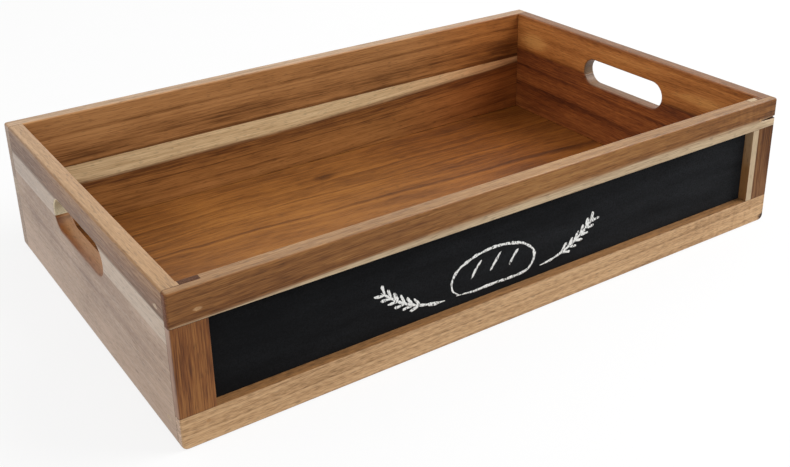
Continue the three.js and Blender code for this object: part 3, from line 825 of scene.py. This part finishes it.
def plugTree(look, sizes, material):
    tree, node, given = newGrowth("puttyPlugs", sizes)
    drum = node("GeometryNodeMeshCylinder", {
        "Vertices": look["corners"], "Fill Segments": look["rings"],
        "Radius": given["Radius"], "Depth": given["Depth"]}, fill_type="TRIANGLE_FAN")
    down = node("ShaderNodeMath", {0: given["Depth"], 1: 0.5}, **multiply)
    sink = node("ShaderNodeCombineXYZ", {2: down})
    seated = node("GeometryNodeTransform", {"Geometry": drum.outputs["Mesh"], "Translation": sink})
    here = node("GeometryNodeInputPosition")
    flat = node("ShaderNodeVectorMath", {0: here, 1: (1, 1, 0)}, **multiply)
    reach = node("ShaderNodeVectorMath", {0: flat}, **lengthOf)
    share = node("ShaderNodeMath", {0: reach.outputs["Value"], 1: given["Radius"]}, **divide)
    square = node("ShaderNodeMath", {0: share, 1: share}, **multiply)
    hollow = node("ShaderNodeMath", {0: 1, 1: square}, **subtract)
    dished = node("ShaderNodeMath", {0: hollow, 1: given["Dish"]}, **multiply)
    offset = node("ShaderNodeCombineXYZ", {2: dished})
    height = node("ShaderNodeSeparateXYZ", {0: here})
    atMouth = node("ShaderNodeMath", {0: height.outputs["Z"], 1: 0.1 * mm}, **lessThan)
    crowned = node("GeometryNodeSetPosition", {0: seated, "Selection": atMouth, "Offset": offset})
    driven = node("GeometryNodeInputNamedAttribute", {"Name": "driven"}, data_type="FLOAT_VECTOR")
    aimed = node("FunctionNodeAlignRotationToVector", {"Vector": driven}, axis="Z")
    mouths = node("GeometryNodeMeshToPoints", {0: given["Geometry"]})
    placed = node("GeometryNodeInstanceOnPoints", {"Points": mouths, "Instance": crowned, "Rotation": aimed})
    real = node("GeometryNodeRealizeInstances", {0: placed})
    puttied = node("GeometryNodeSetMaterial", {0: real, "Material": material})
    node("NodeGroupOutput", {0: puttied})
    return tree


# Each plug stands square to the face that its brad was driven through
def fillBradHoles(look):
    inwards = [
        Vector((0, math.copysign(1, way.y), 0)) if abs(way.x) < 0.1 else Vector((math.copysign(1, way.x), 0, 0))
        for start, way in bradLines]
    mesh = bpy.data.meshes.new(look["name"])
    mesh.from_pydata(
        [(start + inward * look["sunk"]) * mm for (start, way), inward in zip(bradLines, inwards)], [], [])
    driven = mesh.attributes.new("driven", "FLOAT_VECTOR", "POINT")
    for item, inward in zip(driven.data, inwards):
        item.vector = inward
    sizes = {"Radius": look["radius"] * mm, "Depth": look["depth"] * mm, "Dish": look["dish"] * mm}
    piece = newPiece(look["name"], mesh)
    growPiece(piece, plugTree(look, sizes, newMaterial("sandedPutty", sandedPutty, look)), sizes)
    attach(piece, "root")
    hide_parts(*[name for name in nodes if "filler" in name])
    return piece


plugs = fillBradHoles(puttyPlugs)
print("brad holes filled,", len(plugs.data.polygons), "faces")

# Galvanised wire: drawn steel wire with a thin zinc coat. It gives a dull grey with a faint spangle.
wireBrads = {"spangle": 0.4, "dull": "#8d9092", "bright": "#b4b6b8", "roughness": (0.5, 0.3)}


def galvanisedWire(node, place, look):
    spangle = node("ShaderNodeTexNoise", {"Vector": place["Object"], "Scale": metre / look["spangle"], "Detail": 2})
    colour = node("ShaderNodeValToRGB", {0: spangle})
    paintRamp(colour, [(0.35, look["dull"]), (0.65, look["bright"])])
    shine = node("ShaderNodeMapRange", {0: spangle, 3: look["roughness"][0], 4: look["roughness"][1]})
    return node("ShaderNodeBsdfPrincipled", {"Base Color": colour, "Roughness": shine, "Metallic": 1})


wire = newMaterial("galvanisedWire", galvanisedWire, wireBrads)
for name, node in nodes.items():
    if "_brad_" in name:
        node.data.materials.clear()
        node.data.materials.append(wire)
print("brads finished")

# Studio: a white floor, a pale room and one large soft lamp above and to the right
white = (1, 1, 1, 1)
studio = {
    "floorSize": 16, "floorColour": "#d8d8d8", "leftLight": 0.95, "rightLight": 0.32, "backLight": 1.1,
    "frontLight": 0.1, "keyPlace": (1.46, -0.73, 1.6), "keyAim": (0, 0, 0.05), "keySize": 1.6, "keyPower": 42,
    "whiteShare": 0.82,  # how much of the floor is plain white to the camera, the rest shows the crate's shadow
    "shadowPaper": (0.9, 0.9, 0.9, 1),
    "mirrorBack": 1, "mirrorFront": 0.15,  # how bright the floor is in what shines, behind and before the crate
}


def studioFloor(node, place, look):
    ray = node("ShaderNodeLightPath").outputs
    parts = node("ShaderNodeSeparateXYZ", {0: place["Object"]})
    paper = node("ShaderNodeBsdfDiffuse", {"Color": linearColour(look["floorColour"])})
    shadowPaper = node("ShaderNodeBsdfDiffuse", {"Color": look["shadowPaper"]})
    plainWhite = node("ShaderNodeEmission", {"Color": white, "Strength": 1})
    seen = node("ShaderNodeMixShader", {0: look["whiteShare"], 1: shadowPaper, 2: plainWhite})
    reach = node("ShaderNodeMapRange", {
        0: parts.outputs["Y"], 1: -0.35, 2: 0.05,
        3: look["mirrorFront"], 4: look["mirrorBack"]}, **smooth)
    mirrored = node("ShaderNodeEmission", {"Color": white, "Strength": reach})
    unseen = node("ShaderNodeMixShader", {0: ray["Is Glossy Ray"], 1: paper, 2: mirrored})
    return node("ShaderNodeMixShader", {0: ray["Is Camera Ray"], 1: unseen, 2: seen})


def paleRoom(node, place, look):
    ray = node("ShaderNodeLightPath").outputs
    towards = node("ShaderNodeSeparateXYZ", {0: place["Generated"]}).outputs
    glow = node("ShaderNodeMapRange", {
        0: towards["Y"], 1: -0.7, 2: 0.6,
        3: look["frontLight"], 4: look["backLight"]}, **smooth)
    window = node("ShaderNodeMapRange", {
        0: towards["X"], 1: -0.8, 2: 0.8,
        3: look["leftLight"], 4: look["rightLight"]}, **smooth)
    light = node("ShaderNodeMix", {0: ray["Is Glossy Ray"], 2: window, 3: glow}, data_type="FLOAT")
    strength = node("ShaderNodeMix", {0: ray["Is Camera Ray"], 2: light, 3: 1}, data_type="FLOAT")
    return node("ShaderNodeBackground", {"Color": white, "Strength": strength})


half = studio["floorSize"] / 2
floorMesh = bpy.data.meshes.new("studioFloor")
floorMesh.from_pydata([(-half, -half, 0), (half, -half, 0), (half, half, 0), (-half, half, 0)], [], [(0, 1, 2, 3)])
floorMesh.materials.append(newMaterial("studioFloor", studioFloor, studio))
studioFloorPiece = newPiece("studioFloor", floorMesh)

scene.world = addFinish(bpy.data.worlds.new("room"), paleRoom, studio)
key = bpy.data.lights.new("keyLamp", "AREA")
key.shape = "DISK"
key.size = studio["keySize"]
key.energy = studio["keyPower"]
keyPiece = newPiece("keyLamp", key)
keyPiece.location = studio["keyPlace"]
keyWay = Vector(studio["keyPlace"]) - Vector(studio["keyAim"])
keyPiece.rotation_euler = keyWay.to_track_quat("Z", "Y").to_euler()
scene.view_settings.view_transform = "Standard"

# Camera: the photograph's own view, in degrees and millimetres
view = {
    "azimuth": -33.26, "elevation": 23.63, "roll": -1.2, "distance": 893.29, "target": (2.54, 4.46, 68.66),
    "settings": {
        "lens": 49.54, "sensor_width": 36, "sensor_fit": "HORIZONTAL", "shift_y": -0.1, "clip_start": 10 * mm},
}
azimuth, elevation, roll = (math.radians(view[angle]) for angle in ("azimuth", "elevation", "roll"))
back = Vector((
    math.sin(azimuth) * math.cos(elevation), -math.cos(azimuth) * math.cos(elevation), math.sin(elevation)))
level = Vector((math.cos(azimuth), math.sin(azimuth), 0))
above = back.cross(level)
right = math.cos(roll) * level + math.sin(roll) * above
up = -math.sin(roll) * level + math.cos(roll) * above
camera = bpy.data.cameras.new("camera")
for name, value in view["settings"].items():
    setattr(camera, name, value)
cameraPiece = newPiece("camera", camera)
place = Matrix.Translation((Vector(view["target"]) + back * view["distance"]) * mm)
cameraPiece.matrix_world = place @ Matrix((right, up, back)).transposed().to_4x4()
scene.camera = cameraPiece
print("studio and camera set")
